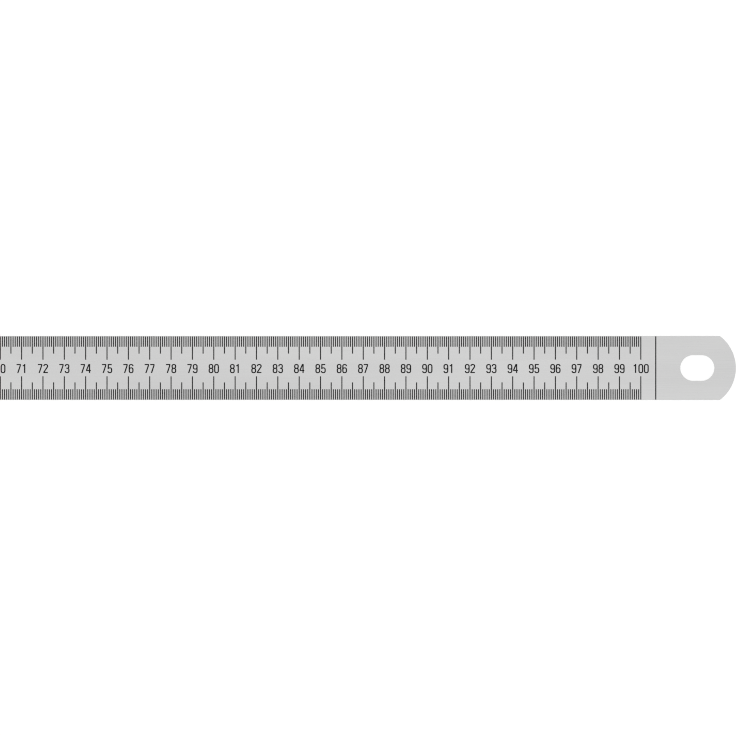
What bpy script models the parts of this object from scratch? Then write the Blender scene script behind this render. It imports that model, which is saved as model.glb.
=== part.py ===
"""A one-metre steel ruler, in one piece.

It is a flat spring-steel blade with a square zero end and a rounded far end that has an oblong hole to hang
it by. The scale is etched into the face along both edges: a line at each centimetre and each half
centimetre, and one line across the blade past the end of the scale. The millimetre lines are a field of grey
along each edge.

+X runs along the scale, +Y across the blade and +Z out of the face with the scale. The origin is the middle
of the zero end, so X is the reading of the ruler. Lengths are in metres.
"""

import math

import bmesh
import bpy
from mathutils import Matrix

MM = 0.001

# Blade
SCALE_LENGTH = 1000 * MM
PLAIN_END = 44.5 * MM  # from the last line of the scale to the tip of the rounded end
BLADE_WIDTH = 30 * MM
BLADE_THICKNESS = 1.0 * MM
END_BOW = 7.5 * MM  # how far the rounded end stands out past its two corners
END_ARC_STEPS = 48
EDGE_EASE = 0.15 * MM  # the sharp edges are broken to this radius
EDGE_EASE_STEPS = 2

# Hanging hole
HOLE_WIDTH = 12 * MM
HOLE_STRAIGHT = 4 * MM  # the flat sides between its two round ends
HOLE_FROM_TIP = 18 * MM  # from the tip of the blade to the middle of the hole
HOLE_ARC_STEPS = 28

# Etched scale
CENTIMETRE = 10 * MM
CENTIMETRE_REACH = 11.0 * MM  # from the edge of the blade to the inner end of the line
HALF_REACH = 8.2 * MM
MILLIMETRE_REACH = 5.0 * MM
SCALE_LINE = 0.52 * MM  # width of a line
EDGE_CLEARANCE = 0.05 * MM  # from the eased edge to the outer end of a line
END_LINE_FROM_SCALE = 7 * MM
END_LINE = 0.56 * MM
ETCH_DEPTH = 0.1 * MM
CUTTER_PROUD = 0.5 * MM  # how far the cutters stand out of the face

FACE_Z = BLADE_THICKNESS / 2
HALF_WIDTH = BLADE_WIDTH / 2
TIP_X = SCALE_LENGTH + PLAIN_END
LINE_START = HALF_WIDTH - EDGE_EASE - EDGE_CLEARANCE  # where a line starts, from the middle of the blade


def clear_scene():
    for obj in list(bpy.data.objects):
        bpy.data.objects.remove(obj, do_unlink=True)


def new_collection(name, hidden=False):
    collection = bpy.data.collections.new(name)
    collection.hide_render = hidden
    bpy.context.scene.collection.children.link(collection)
    return collection


def make_material(name, colour, metallic, roughness):
    material = bpy.data.materials.new(name)
    material.use_nodes = True
    material.diffuse_color = (*colour, 1)
    shader = material.node_tree.nodes["Principled BSDF"]
    shader.inputs["Base Color"].default_value = (*colour, 1)
    shader.inputs["Metallic"].default_value = metallic
    shader.inputs["Roughness"].default_value = roughness
    return material


def arc(centre_x, radius, start, end, steps):
    """Points on an arc about (centre_x, 0), from one angle to another, both ends included."""
    angles = [start + (end - start) * step / steps for step in range(steps + 1)]
    return [(centre_x + radius * math.cos(angle), radius * math.sin(angle)) for angle in angles]


def blade_outline():
    """Square at the zero end, and one arc over the whole width at the far end."""
    radius = (HALF_WIDTH**2 + END_BOW**2) / (2 * END_BOW)
    half_sweep = math.atan2(HALF_WIDTH, radius - END_BOW)
    far_end = arc(TIP_X - radius, radius, -half_sweep, half_sweep, END_ARC_STEPS)
    return [(0, HALF_WIDTH), (0, -HALF_WIDTH), *far_end]


def hole_outline():
    """Two half circles with straight sides between them."""
    radius = HOLE_WIDTH / 2
    middle = TIP_X - HOLE_FROM_TIP
    quarter = math.pi / 2
    right = arc(middle + HOLE_STRAIGHT / 2, radius, -quarter, quarter, HOLE_ARC_STEPS)
    left = arc(middle - HOLE_STRAIGHT / 2, radius, quarter, 3 * quarter, HOLE_ARC_STEPS)
    return right + left


def draw_flat(name, outlines, thickness):
    """A filled flat curve object, with its thickness centred on Z = 0."""
    curve = bpy.data.curves.new(name, "CURVE")
    curve.dimensions = "2D"
    curve.fill_mode = "BOTH"
    curve.extrude = thickness / 2
    for outline in outlines:
        spline = curve.splines.new("POLY")
        spline.points.add(len(outline) - 1)
        for point, (x, y) in zip(spline.points, outline):
            point.co = (x, y, 0, 1)
        spline.use_cyclic_u = True
    drawn = bpy.data.objects.new(name, curve)
    bpy.context.scene.collection.objects.link(drawn)
    return drawn


def solid_from_curve(name, drawn):
    """A closed mesh object in the curve's place, its caps welded to its sides and each cap made one flat."""
    bpy.context.view_layer.update()
    graph = bpy.context.evaluated_depsgraph_get()
    mesh = bpy.data.meshes.new_from_object(drawn.evaluated_get(graph))
    mesh.name = name
    shape = bmesh.new()
    shape.from_mesh(mesh)
    bmesh.ops.remove_doubles(shape, verts=shape.verts, dist=0.01 * MM)
    bmesh.ops.dissolve_limit(shape, angle_limit=math.radians(0.1), verts=shape.verts, edges=shape.edges)
    bmesh.ops.recalc_face_normals(shape, faces=shape.faces)
    shape.to_mesh(mesh)
    shape.free()
    solid = bpy.data.objects.new(name, mesh)
    solid.matrix_world = drawn.matrix_world
    bpy.data.objects.remove(drawn, do_unlink=True)
    return solid


def make_blade(collection, steel):
    outlines = [blade_outline(), hole_outline()]
    blade = solid_from_curve("blade", draw_flat("blade_outline", outlines, BLADE_THICKNESS))
    collection.objects.link(blade)
    blade.data.materials.clear()
    blade.data.materials.append(steel)
    blade.data.shade_smooth()
    ease = blade.modifiers.new("eased_edges", "BEVEL")
    ease.width = EDGE_EASE
    ease.segments = EDGE_EASE_STEPS
    ease.material = 0  # steel beside the fields of grey too
    ease.limit_method = "ANGLE"
    ease.angle_limit = math.radians(30)
    ease.use_clamp_overlap = False
    return blade


def face_parts(shape, from_y=0):
    """The faces that make up the side with the scale, or those of them that lie past from_y."""
    upper = [face for face in shape.faces if face.normal.z > 0.5]
    return [face for face in upper if abs(face.calc_center_bounds().y) >= from_y]


def split_face(shape, point, normal, from_y=0):
    """New edges where a plane meets the side with the scale. Nothing is taken away."""
    faces = face_parts(shape, from_y)
    edges = {edge for face in faces for edge in face.edges}
    corners = {corner for face in faces for corner in face.verts}
    bmesh.ops.bisect_plane(shape, geom=[*corners, *edges, *faces], plane_co=point, plane_no=normal)


def paint_millimetres(blade, grey):
    """A field along each edge, in the grey that the millimetre lines make from a step away."""
    blade.data.materials.append(grey)
    inner_y = HALF_WIDTH - MILLIMETRE_REACH
    shape = bmesh.new()
    shape.from_mesh(blade.data)
    split_face(shape, (0, inner_y, 0), (0, 1, 0))
    split_face(shape, (0, -inner_y, 0), (0, 1, 0))
    split_face(shape, (SCALE_LENGTH, 0, 0), (1, 0, 0), inner_y)
    for face in face_parts(shape, inner_y):
        if face.calc_center_bounds().x < SCALE_LENGTH:
            face.material_index = 1
    shape.to_mesh(blade.data)
    shape.free()


def make_line_cutter(name, collection, fill, lines):
    """One box for each line, given as (x, y of one end, y of the other end, width)."""
    shape = bmesh.new()
    depth = ETCH_DEPTH + CUTTER_PROUD
    middle_z = FACE_Z - ETCH_DEPTH + depth / 2
    for x, first_y, second_y, width in lines:
        place = Matrix.Translation((x, (first_y + second_y) / 2, middle_z))
        size = Matrix.Diagonal((width, abs(second_y - first_y), depth, 1))
        bmesh.ops.create_cube(shape, size=1, matrix=place @ size)
    mesh = bpy.data.meshes.new(name)
    shape.to_mesh(mesh)
    shape.free()
    mesh.materials.append(fill)
    cutter = bpy.data.objects.new(name, mesh)
    cutter.hide_render = True
    cutter.display_type = "WIRE"
    collection.objects.link(cutter)
    return cutter


def scale_lines(side):
    """The lines along one edge, at side * Y: long at each centimetre, shorter at each half centimetre."""
    lines = []
    for half in range(1, round(2 * SCALE_LENGTH / CENTIMETRE) + 1):
        reach = HALF_REACH if half % 2 else CENTIMETRE_REACH
        lines.append((half * CENTIMETRE / 2, side * LINE_START, side * (HALF_WIDTH - reach), SCALE_LINE))
    return lines


def etch(blade, cutter):
    """Cuts the lines into the face. The etched faces take the cutter's black."""
    cut = blade.modifiers.new(cutter.name.removesuffix("_cutter"), "BOOLEAN")
    cut.operation = "DIFFERENCE"
    cut.solver = "EXACT"
    cut.material_mode = "TRANSFER"
    cut.object = cutter


def finish_surface(blade):
    """Even triangles, and shading set by the large faces, so the face stays flat beside lines and edges."""
    triangles = blade.modifiers.new("even_triangles", "TRIANGULATE")
    triangles.ngon_method = "BEAUTY"
    weighted = blade.modifiers.new("flat_faces", "WEIGHTED_NORMAL")
    weighted.weight = 100


def make_ruler():
    clear_scene()
    ruler = new_collection("steel_ruler")
    cutters = new_collection("cutters", hidden=True)
    steel = make_material("satin_stainless_steel", (0.62, 0.62, 0.62), 1.0, 0.35)
    black = make_material("black_etch", (0.012, 0.012, 0.012), 0.0, 0.6)
    grey = make_material("etched_millimetres", (0.30, 0.30, 0.30), 0.6, 0.45)
    blade = make_blade(ruler, steel)
    paint_millimetres(blade, grey)
    end_line_x = SCALE_LENGTH + END_LINE_FROM_SCALE
    etch(blade, make_line_cutter("upper_scale_cutter", cutters, black, scale_lines(1)))
    etch(blade, make_line_cutter("lower_scale_cutter", cutters, black, scale_lines(-1)))
    end_line = [(end_line_x, -LINE_START, LINE_START, END_LINE)]
    etch(blade, make_line_cutter("end_line_cutter", cutters, black, end_line))
    finish_surface(blade)


make_ruler()
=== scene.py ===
import math
import bpy
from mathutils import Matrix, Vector
from mathutils.geometry import delaunay_2d_cdt


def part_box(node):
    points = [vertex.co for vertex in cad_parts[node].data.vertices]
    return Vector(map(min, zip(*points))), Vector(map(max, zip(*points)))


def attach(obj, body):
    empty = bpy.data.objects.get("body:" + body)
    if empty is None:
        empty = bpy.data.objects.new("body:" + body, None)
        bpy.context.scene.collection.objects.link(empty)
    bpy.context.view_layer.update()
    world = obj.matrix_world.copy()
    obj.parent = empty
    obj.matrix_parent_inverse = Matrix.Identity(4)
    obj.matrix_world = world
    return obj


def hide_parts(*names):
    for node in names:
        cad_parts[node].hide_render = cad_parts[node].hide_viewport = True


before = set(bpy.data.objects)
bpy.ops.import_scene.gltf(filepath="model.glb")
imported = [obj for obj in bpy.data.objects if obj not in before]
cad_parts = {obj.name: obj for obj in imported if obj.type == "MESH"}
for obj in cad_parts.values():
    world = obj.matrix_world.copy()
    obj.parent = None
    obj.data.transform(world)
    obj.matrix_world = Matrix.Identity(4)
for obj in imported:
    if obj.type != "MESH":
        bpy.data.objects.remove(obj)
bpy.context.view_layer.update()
print("frame loaded")

# sizes are in millimetres: x along the scale from its zero, y across the blade, z up
mm = 0.001
bladeLow, bladeHigh = [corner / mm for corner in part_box("blade")]
halfWidth = (bladeHigh.y - bladeLow.y) / 2
faceZ = bladeHigh.z
backZ = bladeLow.z


# drawing flat shapes

def arcPoints(middle, radii, start, end, steps):
    # from one angle to another in degrees, both ends included
    points = []
    for step in range(steps + 1):
        turn = math.radians(start + (end - start) * step / steps)
        arm = Vector((radii[0] * math.cos(turn), radii[1] * math.sin(turn)))
        points.append(Vector(middle) + arm)
    return points


def leftOf(direction):
    return Vector((-direction.y, direction.x)).normalized()


def easeCorners(points, radius, steps, leastTurn):
    # a small arc in place of every corner of a closed outline that turns more than leastTurn degrees
    eased = []
    for before, corner, after in zip(points[-1:] + points[:-1], points, points[1:] + points[:1]):
        incoming = (corner - before).normalized()
        outgoing = (after - corner).normalized()
        turn = math.atan2(incoming.cross(outgoing), incoming.dot(outgoing))
        if abs(turn) < math.radians(leastTurn):
            eased.append(corner)
            continue
        start = corner - incoming * radius * math.tan(turn / 2)
        middle = start + leftOf(incoming) * radius
        for step in range(steps + 1):
            share = turn * step / steps
            arm = start - middle
            turned = Vector((arm.x * math.cos(share) - arm.y * math.sin(share),
                             arm.x * math.sin(share) + arm.y * math.cos(share)))
            eased.append(middle + turned)
    return eased


def divide(start, end, longest):
    # points along a straight edge, its first end included
    parts = math.ceil((end - start).length / longest)
    return [start.lerp(end, part / parts) for part in range(parts)]


def outwards(points):
    # for each point of a closed outline, the way out of the metal, long enough to keep an even offset
    ways = []
    for before, point, after in zip(points[-1:] + points[:-1], points, points[1:] + points[:1]):
        first = -leftOf(point - before)
        second = -leftOf(after - point)
        ways.append((first + second) / (1 + first.dot(second)))
    return ways


# a mesh is gathered face by face, and points in the same place become one

def newShell():
    return {"points": {}, "faces": [], "smooth": [], "spots": []}


def addFace(shell, corners, spots, smooth=False):
    numbers = []
    for corner in corners:
        place = tuple(round(value, 4) for value in corner)
        numbers.append(shell["points"].setdefault(place, len(shell["points"])))
    if len(set(numbers)) < len(numbers):
        return
    shell["faces"].append(numbers)
    shell["smooth"].append(smooth)
    shell["spots"].extend(spots)


unrolled = {
    "name": "OFBake",
    "margin": 3.0,  # round each side of the blade, in millimetres of surface
    "backFrom": 36.0,  # how far the back lies from the face on the map
}


def makePiece(shell, name, material):
    mesh = bpy.data.meshes.new(name)
    places = [Vector(place) * mm for place in shell["points"]]
    mesh.from_pydata(places, [], shell["faces"])
    mesh.polygons.foreach_set("use_smooth", shell["smooth"])
    # the surface laid out flat, the face below and the back above
    wide = bladeHigh.x + 2 * unrolled["margin"]
    high = unrolled["backFrom"] + 2 * (halfWidth + unrolled["margin"])
    layer = mesh.uv_layers.new(name=unrolled["name"])
    flat = []
    for spot in shell["spots"]:
        flat.append((spot[0] + unrolled["margin"]) / wide)
        flat.append((spot[1] + halfWidth + unrolled["margin"]) / high)
    layer.uv.foreach_set("vector", flat)
    mesh.update()
    piece = bpy.data.objects.new(name, mesh)
    bpy.context.scene.collection.objects.link(piece)
    mesh.materials.append(material)
    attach(piece, "root")
    return piece


# satin steel: rolled and ground along its length, so the grain is long in x and fine across

steelLook = {
    "colour": (0.646, 0.646, 0.645),
    "colourSpread": 0.16,
    "roughness": 0.36,
    "roughnessSpread": 0.20,
    # waves per millimetre along and across, and the share of each
    "grain": ((0.060, 8.0, 0.40), (0.025, 2.2, 0.35), (0.010, 0.6, 0.25)),
    "clouds": (0.006, 0.05, 0.3),
    "grainHeight": 0.006,
}


def noiseAlong(tree, coordinates, along, across):
    # noise stretched along the blade
    stretch = tree.nodes.new("ShaderNodeMapping")
    stretch.inputs["Scale"].default_value = (along / mm, across / mm, across / mm)
    tree.links.new(coordinates, stretch.inputs["Vector"])
    noise = tree.nodes.new("ShaderNodeTexNoise")
    noise.inputs["Scale"].default_value = 1
    tree.links.new(stretch.outputs["Vector"], noise.inputs["Vector"])
    return noise.outputs["Fac"]


def mathNode(tree, operation, first, second):
    node = tree.nodes.new("ShaderNodeMath")
    node.operation = operation
    for socket, value in zip(node.inputs, (first, second)):
        if isinstance(value, (int, float)):
            socket.default_value = value
        else:
            tree.links.new(value, socket)
    return node.outputs["Value"]


def around(tree, value, middle, spread):
    # a noise of 0.25 to 0.75 becomes middle - spread to middle + spread
    shifted = mathNode(tree, "SUBTRACT", value, 0.5)
    return mathNode(tree, "ADD", mathNode(tree, "MULTIPLY", shifted, 4 * spread), middle)


def makeSteel():
    material = bpy.data.materials.new("satinSteel")
    material.use_nodes = True
    tree = material.node_tree
    shader = tree.nodes["Principled BSDF"]
    shader.inputs["Metallic"].default_value = 1
    coordinates = tree.nodes.new("ShaderNodeTexCoord").outputs["Object"]
    lines = 0
    for along, across, share in steelLook["grain"]:
        noise = noiseAlong(tree, coordinates, along, across)
        lines = mathNode(tree, "ADD", mathNode(tree, "MULTIPLY", noise, share), lines)
    along, across, share = steelLook["clouds"]
    clouds = noiseAlong(tree, coordinates, along, across)
    mixed = mathNode(tree, "ADD", mathNode(tree, "MULTIPLY", clouds, share),
                     mathNode(tree, "MULTIPLY", lines, 1 - share))
    brightness = around(tree, mixed, 1.0, steelLook["colourSpread"])
    tint = tree.nodes.new("ShaderNodeVectorMath")
    tint.operation = "SCALE"
    tint.inputs[0].default_value = steelLook["colour"]
    tree.links.new(brightness, tint.inputs["Scale"])
    tree.links.new(tint.outputs["Vector"], shader.inputs["Base Color"])
    roughness = around(tree, lines, steelLook["roughness"], steelLook["roughnessSpread"])
    tree.links.new(roughness, shader.inputs["Roughness"])
    bump = tree.nodes.new("ShaderNodeBump")
    bump.inputs["Strength"].default_value = 1
    bump.inputs["Distance"].default_value = steelLook["grainHeight"] * mm
    tree.links.new(lines, bump.inputs["Height"])
    tree.links.new(bump.outputs["Normal"], shader.inputs["Normal"])
    return material


# black that fills the etching: dull, with a little unevenness

blackLook = {
    "colour": 0.008,
    "colourSpread": 0.003,
    "roughness": 0.6,
    "roughnessSpread": 0.10,
    "shine": 0.15,
    "mottle": 1.2,
}


def makeBlack():
    material = bpy.data.materials.new("etchBlack")
    material.use_nodes = True
    tree = material.node_tree
    shader = tree.nodes["Principled BSDF"]
    shader.inputs["Specular IOR Level"].default_value = blackLook["shine"]
    coordinates = tree.nodes.new("ShaderNodeTexCoord").outputs["Object"]
    mottle = noiseAlong(tree, coordinates, blackLook["mottle"], blackLook["mottle"])
    shade = around(tree, mottle, blackLook["colour"], blackLook["colourSpread"])
    tree.links.new(shade, shader.inputs["Base Color"])
    roughness = around(tree, mottle, blackLook["roughness"], blackLook["roughnessSpread"])
    tree.links.new(roughness, shader.inputs["Roughness"])
    return material


steel = makeSteel()
black = makeBlack()
print("materials made")


# marks: every one is a few four-sided patches, and overlaps are sorted out when the face is cut

patches = []  # (piece, corners)
samePlace = 0.001  # ends of a line that are nearer than this make it a ring


def addPatch(piece, corners):
    patches.append((piece, [Vector(corner) for corner in corners]))


def addBar(piece, low, high):
    addPatch(piece, [low, (high[0], low[1]), high, (low[0], high[1])])


def addStroke(piece, path, pen, place=(0, 0), upright=1, levelEnd=False):
    # a line along a path. The pen is the width of its upright and of its level parts, and upright = -1
    # turns the line upside down about its place
    path = [Vector(place) + upright * Vector(point) for point in path]
    ways = [leftOf(end - start) for start, end in zip(path, path[1:])]
    ring = (path[0] - path[-1]).length < samePlace
    befores = [ways[-1] if ring else ways[0]] + ways
    afters = ways + [ways[0] if ring else ways[-1]]
    left, right = [], []
    for point, before, after in zip(path, befores, afters):
        side = (before + after) / (1 + before.dot(after)) * Vector(pen) / 2
        left.append(point + side)
        right.append(point - side)
    if levelEnd:  # the last end is cut along x, not square to the line
        along = (path[-1] - path[-2]).normalized()
        left[-1] += along * (path[-1].y - left[-1].y) / along.y
        right[-1] += along * (path[-1].y - right[-1].y) / along.y
    for number in range(len(path) - 1):
        addPatch(piece, [left[number], right[number], right[number + 1], left[number + 1]])


# the scale: both edges have the same lines, and the zero is the end of the blade itself

scale = {
    "lastLine": 1000,
    "start": 0.2,  # from the edge of the blade to the outer end of every line
    "millimetre": {"reach": 5.06, "width": 0.50},
    "half": {"reach": 8.28, "width": 0.52},
    "centimetre": {"reach": 11.12, "width": 0.52},
    "endLine": {"past": 7.0, "width": 0.56},  # across the blade, past the last line
}


def scaleLine(reading):
    if reading % 10 == 0:
        return scale["centimetre"]
    return scale["half"] if reading % 5 == 0 else scale["millimetre"]


def drawScale():
    outer = halfWidth - scale["start"]
    for reading in range(1, scale["lastLine"] + 1):
        line = scaleLine(reading)
        inner = halfWidth - line["reach"]
        left, right = reading - line["width"] / 2, reading + line["width"] / 2
        addBar("upper_scale_fill", (left, inner), (right, outer))
        addBar("lower_scale_fill", (left, -outer), (right, -inner))
    middle = scale["lastLine"] + scale["endLine"]["past"]
    half = scale["endLine"]["width"] / 2
    addBar("end_line_fill", (middle - half, -outer), (middle + half, outer))


# numbers: narrow plain figures, all of one pitch

figures = {
    "height": 4.23,
    "pen": (0.62, 0.54),  # width of upright and of level lines
    "halfWidth": 1.16,
    "pitch": 2.585,
    "belowMiddle": 0.235,
    "overshoot": 0.10,  # how far a round foot reaches below a flat one
    "squareness": 0.75,  # of the bowls. 1 makes them ellipses, and less makes them squarer
    "arcStep": 12.0,  # degrees
}


def figurePaths():
    # the middle line of each stroke, from the middle of the figure's foot
    top = figures["height"]
    lineX, lineY = [width / 2 for width in figures["pen"]]
    head, foot, roundFoot = top - lineY, lineY, lineY - figures["overshoot"]
    side = figures["halfWidth"] - lineX

    def arc(middle, radii, start, end):
        return arcPoints(middle, radii, start, end, math.ceil(abs(end - start) / figures["arcStep"]))

    def squarer(value):
        return math.copysign(abs(value) ** figures["squareness"], value)

    def bowl(middleY, wide, tall, start, end):
        unit = arc((0, 0), (1, 1), start, end)
        return [Vector((wide * squarer(point.x), middleY + tall * squarer(point.y))) for point in unit]

    def six(tall):
        return bowl(head - 1.0, side, 1.0, 8, 180) + bowl(roundFoot + tall, side, tall, 180, 528)

    oval = [(side, top / 2)] + bowl(head - 1.1, side, 1.1, 0, 180)
    oval += bowl(roundFoot + 1.1, side, 1.1, 180, 360) + [(side, top / 2)]
    neck = arc((0, 3.08), (side, 0.60), -12, -26) + [(-0.86, 0.42), (-0.86, 0)]
    return {
        "0": [oval],
        "1": [
            [(0.14, 0), (0.14, top)],
            [(-0.80, 3.42)] + arc((-0.41, top), (0.55, top - 3.42), -90, 0),
        ],
        "2": [
            bowl(3.08, side, head - 3.08, 175, 0) + neck,
            [(-1.16, foot - 0.03), (1.03, foot - 0.03)],
        ],
        "3": [
            bowl(head - 0.86, 0.79, 0.86, 180, -90),
            bowl(roundFoot + 1.03, side, 1.03, 90, -172),
            [(-0.36, 2.26), (0.05, 2.26)],
        ],
        "4": [
            [(0.53, 0), (0.53, top)],
            [(-1.12, 1.18), (1.14, 1.18)],
            [(-0.83, 1.18 - lineY), (-0.83, 1.46), (0.33, top)],
        ],
        "5": [
            [(0.94, head), (-0.65, head), (-0.745, 1.84)],
            bowl(roundFoot + 1.12, side + 0.03, 1.12, 140, -169),
        ],
        "6": [six(1.12)],
        "7": [
            [(-1.09, head), (0.97, head)],
            [(0.97 - lineX, top), (0.97 - lineX, 3.45), (-0.48, 0)],
        ],
        "8": [
            bowl(head - 0.87, 0.81, 0.87, 0, 360),
            bowl(roundFoot + 1.0, side, 1.0, 0, 360),
        ],
        "9": [six(1.05)],  # drawn upside down
    }


def drawNumbers():
    paths = figurePaths()
    footY = -figures["belowMiddle"] - figures["height"] / 2
    for centimetre in range(1, scale["lastLine"] // 10 + 1):
        text = str(centimetre)
        for place, figure in enumerate(text):
            x = 10 * centimetre + (place - (len(text) - 1) / 2) * figures["pitch"]
            upright, y = 1, footY
            if figure == "9":
                upright, y = -1, footY + figures["height"] - figures["overshoot"]
            for path in paths[figure]:
                levelEnd = path[-1][1] in (0, figures["height"])
                addStroke("numbers_fill", path, figures["pen"], (x, y), upright, levelEnd)


# the unit letters on both sides of the first half-centimetre line

letters = {
    "middles": (3.70, 6.37),
    "height": 1.38,
    "halfWidth": 0.925,
    "pen": (0.36, 0.36),
    "fromEdge": (8.35, 9.73),  # from the edge of the blade to the near and far side of a letter
    "arcSteps": 8,
}


def drawUnitLetters():
    line = letters["pen"][0] / 2
    side = letters["halfWidth"] - line
    arch = side / 2
    shoulder = letters["height"] - line - arch
    for foot in (halfWidth - letters["fromEdge"][1], -halfWidth + letters["fromEdge"][0]):
        for middle in letters["middles"]:
            stem = [(-side, 0), (-side, letters["height"])]
            addStroke("unit_letters_fill", stem, letters["pen"], (middle, foot))
            for archX in (-arch, arch):
                bend = arcPoints((archX, shoulder), (arch, arch), 180, 0, letters["arcSteps"])
                leg = (archX + arch, 0)
                addStroke("unit_letters_fill", bend + [leg], letters["pen"], (middle, foot))


drawScale()
drawNumbers()
drawUnitLetters()
print("marks drawn:", len(patches), "patches")


# the blade's outline and its hanging hole

blade = {
    "edgeEase": 0.15,
    "easeRows": 4,
    "cornerRadius": 0.2,
    "cornerSteps": 4,
    "cornerTurn": 20.0,  # degrees, the least turn that counts as a corner
    "longestEdge": 5.0,
    "endBow": 7.5,  # how far the rounded end stands past its corners
    "endSteps": 120,
}
hole = {
    "width": 12.0,
    "straight": 4.0,
    "fromTip": 18.0,
    "arcSteps": 48,
}
etching = {
    "depth": 0.10,
    "fillBelowFace": 0.03,
    "fillAboveFloor": 0.002,
}


def bladeOutline():
    radius = (halfWidth ** 2 + blade["endBow"] ** 2) / (2 * blade["endBow"])
    sweep = math.degrees(math.atan2(halfWidth, radius - blade["endBow"]))
    end = arcPoints((bladeHigh.x - radius, 0), (radius, radius), -sweep, sweep, blade["endSteps"])
    square = [Vector((bladeLow.x, halfWidth)), Vector((bladeLow.x, -halfWidth))]
    eased = easeCorners(square + end, blade["cornerRadius"], blade["cornerSteps"], blade["cornerTurn"])
    # long straight stretches are divided, so that no triangle of the face is a sliver
    points = []
    for point, after in zip(eased, eased[1:] + eased[:1]):
        points.extend(divide(point, after, blade["longestEdge"]))
    return points


def holeOutline():
    middle = bladeHigh.x - hole["fromTip"]
    radius = hole["width"] / 2
    near = arcPoints((middle - hole["straight"] / 2, 0), (radius, radius), 270, 90, hole["arcSteps"])
    far = arcPoints((middle + hole["straight"] / 2, 0), (radius, radius), 90, -90, hole["arcSteps"])
    return near + far


def edgeProfile():
    # (in from the outline, height, way along the surface) from the face down to the back
    ease = blade["edgeEase"]
    upper = []
    for row in range(blade["easeRows"] + 1):
        turn = math.pi / 2 * row / blade["easeRows"]
        upper.append((ease * (1 - math.sin(turn)), faceZ - ease * (1 - math.cos(turn)), ease * turn))
    wall = faceZ - backZ - 2 * ease
    bottom = 2 * upper[-1][2] + wall
    lower = [(inset, backZ + faceZ - z, bottom - way) for inset, z, way in reversed(upper)]
    return upper + lower


def raised(point, z):
    return (point.x, point.y, z)


def makeEdges(shell, outlines):
    # the rounded edges and the walls between them, round the blade and down the hole
    profile = edgeProfile()
    for outline in outlines:
        ways = outwards(outline)
        rings, flats = [], []
        for inset, z, way in profile:
            rings.append([raised(point - out * inset, z) for point, out in zip(outline, ways)])
            flats.append([point + out * (way - blade["edgeEase"]) for point, out in zip(outline, ways)])
        for row in range(len(profile) - 1):
            for i in range(len(outline)):
                j = (i + 1) % len(outline)
                corners = [rings[row][i], rings[row + 1][i], rings[row + 1][j], rings[row][j]]
                spots = [flats[row][i], flats[row + 1][i], flats[row + 1][j], flats[row][j]]
                addFace(shell, corners, spots, smooth=True)


def cutFace(outlines, patchesCut):
    # the flat inside the eased edges, cut into triangles along the sides of every mark. Each triangle
    # comes back with the piece that fills it, or None where it is bare metal
    points, loops, owners = [], [], []

    def addLoop(owner, corners):
        loops.append(list(range(len(points), len(points) + len(corners))))
        points.extend(corners)
        owners.append(owner)

    for owner, outline in zip(("metal", "hole"), outlines):
        inner = [point - out * blade["edgeEase"] for point, out in zip(outline, outwards(outline))]
        addLoop(owner, inner if owner == "metal" else inner[::-1])  # every loop goes anticlockwise
    for piece, corners in patchesCut:
        addLoop(piece, corners)
    inside, sameSpot = 1, 0.0001  # only what lies in a loop is kept, and points this near are one
    result = delaunay_2d_cdt(points, [], loops, inside, sameSpot, True)
    cutPoints, triangles, sources = result[0], result[2], result[5]
    cut = []
    for triangle, source in zip(triangles, sources):
        found = {owners[number] for number in source}
        if "hole" in found or "metal" not in found:
            continue
        filling = found - {"metal"}
        cut.append(([cutPoints[number] for number in triangle], filling.pop() if filling else None))
    return cut


def sidesOf(cut):
    # each side between bare metal and a mark, as the mark's triangle has it: the mark is on its left
    bare = set()
    for corners, filling in cut:
        if filling is None:
            for start, end in zip(corners, corners[1:] + corners[:1]):
                bare.add((end.x, end.y, start.x, start.y))
    sides = []
    for corners, filling in cut:
        if filling is not None:
            for start, end in zip(corners, corners[1:] + corners[:1]):
                if (start.x, start.y, end.x, end.y) in bare:
                    sides.append((start, end, filling))
    return sides


def onBack(points):
    # the same points on the back's part of the map
    return [point + Vector((0, unrolled["backFrom"])) for point in points]


outlines = [bladeOutline(), holeOutline()]
face = cutFace(outlines, patches)
sides = sidesOf(face)
floorZ = faceZ - etching["depth"]
print("face cut:", len(face), "triangles,", len(sides), "sides of marks")


def makeBlade():
    shell = newShell()
    makeEdges(shell, outlines)
    for corners, filling in face:
        z = faceZ if filling is None else floorZ
        addFace(shell, [raised(corner, z) for corner in corners], corners)
    for start, end, filling in sides:
        inward = leftOf(end - start) * etching["depth"]
        corners = [raised(start, faceZ), raised(end, faceZ), raised(end, floorZ), raised(start, floorZ)]
        addFace(shell, corners, [start, end, end + inward, start + inward])
    for corners, filling in cutFace(outlines, []):
        corners = corners[::-1]
        addFace(shell, [raised(corner, backZ) for corner in corners], onBack(corners))
    piece = makePiece(shell, "steel_blade", steel)
    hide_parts("blade")


def makeFill(name):
    shell = newShell()
    topZ = faceZ - etching["fillBelowFace"]
    footZ = floorZ + etching["fillAboveFloor"]
    for corners, filling in face:
        if filling == name:
            addFace(shell, [raised(corner, topZ) for corner in corners], corners)
            corners = corners[::-1]
            addFace(shell, [raised(corner, footZ) for corner in corners], onBack(corners))
    for start, end, filling in sides:
        if filling == name:
            outward = leftOf(start - end) * (topZ - footZ)
            corners = [raised(start, topZ), raised(start, footZ), raised(end, footZ), raised(end, topZ)]
            addFace(shell, corners, [start, start + outward, end + outward, end])
    makePiece(shell, name, black)


makeBlade()
for name in sorted({piece for piece, corners in patches}):
    makeFill(name)
print("blade and fills made")


# the camera looks straight down on the end of the blade with the hole, at the photograph's own scale

view = {
    "middleX": 872.23,
    "across": 344.7,  # of the ruler, over the picture's width
    "lens": 200.0,
    "sensor": 36.0,
    "clip": (0.1, 100.0),  # metres
    "filterWidth": 1.15,  # pixels, so that fine lines stay crisp
}


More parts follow.
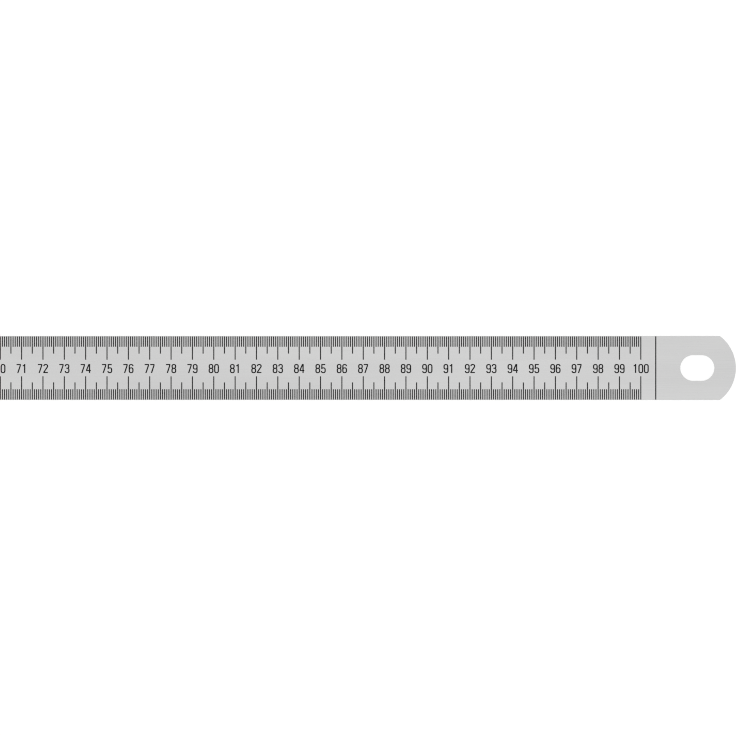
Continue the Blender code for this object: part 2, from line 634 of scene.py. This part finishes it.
def makeCamera():
    camera = bpy.data.cameras.new("camera")
    camera.lens = view["lens"]
    camera.sensor_width = view["sensor"]
    camera.clip_start, camera.clip_end = view["clip"]
    eye = bpy.data.objects.new("camera", camera)
    away = view["across"] * view["lens"] / view["sensor"]
    eye.location = (view["middleX"] * mm, 0, (faceZ + away) * mm)
    bpy.context.scene.collection.objects.link(eye)
    bpy.context.scene.camera = eye


# the studio: a white floor, a surround that is white low down and softer above, and a large lamp overhead

studio = {
    "floorSize": 200.0,  # metres
    "floorGap": 0.02,  # millimetres under the blade
    "floorColour": 0.62,
    "floorLift": 0.55,  # the rest of the floor's white, for the camera and for reflections alone
    "lowSurround": 1.02,
    "highSurround": 0.72,
    "surroundTurns": (0.12, 0.80),  # it goes from low to high between these heights, of 0 to 1
    "lampSize": 3.0,
    "lampHeight": 2.4,
    "lampPower": 6.6,
}


def makeFloor():
    half = studio["floorSize"] / 2
    mesh = bpy.data.meshes.new("floor")
    corners = [(-half, -half), (half, -half), (half, half), (-half, half)]
    z = (backZ - studio["floorGap"]) * mm
    mesh.from_pydata([(x, y, z) for x, y in corners], [], [(0, 1, 2, 3)])
    floor = bpy.data.objects.new("floor", mesh)
    bpy.context.scene.collection.objects.link(floor)
    material = bpy.data.materials.new("paleFloor")
    material.use_nodes = True
    tree = material.node_tree
    tree.nodes.remove(tree.nodes["Principled BSDF"])
    paint = tree.nodes.new("ShaderNodeBsdfDiffuse")
    paint.inputs["Color"].default_value = (studio["floorColour"],) * 3 + (1,)
    white = tree.nodes.new("ShaderNodeEmission")
    path = tree.nodes.new("ShaderNodeLightPath").outputs
    seen = mathNode(tree, "MAXIMUM", path["Is Camera Ray"], path["Is Glossy Ray"])
    seen = mathNode(tree, "MAXIMUM", seen, path["Is Transmission Ray"])
    tree.links.new(mathNode(tree, "MULTIPLY", seen, studio["floorLift"]), white.inputs["Strength"])
    both = tree.nodes.new("ShaderNodeAddShader")
    tree.links.new(paint.outputs["BSDF"], both.inputs[0])
    tree.links.new(white.outputs["Emission"], both.inputs[1])
    tree.links.new(both.outputs["Shader"], tree.nodes["Material Output"].inputs["Surface"])
    mesh.materials.append(material)


def makeLight():
    world = bpy.data.worlds.new("studio")
    bpy.context.scene.world = world
    world.use_nodes = True
    tree = world.node_tree
    way = tree.nodes.new("ShaderNodeTexCoord").outputs["Generated"]
    parts = tree.nodes.new("ShaderNodeSeparateXYZ")
    tree.links.new(way, parts.inputs["Vector"])
    strength = tree.nodes.new("ShaderNodeMapRange")
    strength.interpolation_type = "SMOOTHSTEP"
    strength.inputs["From Min"].default_value = studio["surroundTurns"][0]
    strength.inputs["From Max"].default_value = studio["surroundTurns"][1]
    strength.inputs["To Min"].default_value = studio["lowSurround"]
    strength.inputs["To Max"].default_value = studio["highSurround"]
    tree.links.new(parts.outputs["Z"], strength.inputs["Value"])
    background = tree.nodes["Background"]
    background.inputs["Color"].default_value = (1, 1, 1, 1)
    tree.links.new(strength.outputs["Result"], background.inputs["Strength"])
    light = bpy.data.lights.new("overhead", "AREA")
    light.shape = "DISK"
    light.size = studio["lampSize"]
    light.energy = studio["lampPower"]
    lamp = bpy.data.objects.new("overhead", light)
    lamp.location = (view["middleX"] * mm, 0, studio["lampHeight"])
    lamp.visible_camera = False
    bpy.context.scene.collection.objects.link(lamp)


makeFloor()
makeLight()
makeCamera()
bpy.context.scene.view_settings.view_transform = "Standard"
bpy.context.scene.cycles.filter_width = view["filterWidth"]
print("studio and camera made")
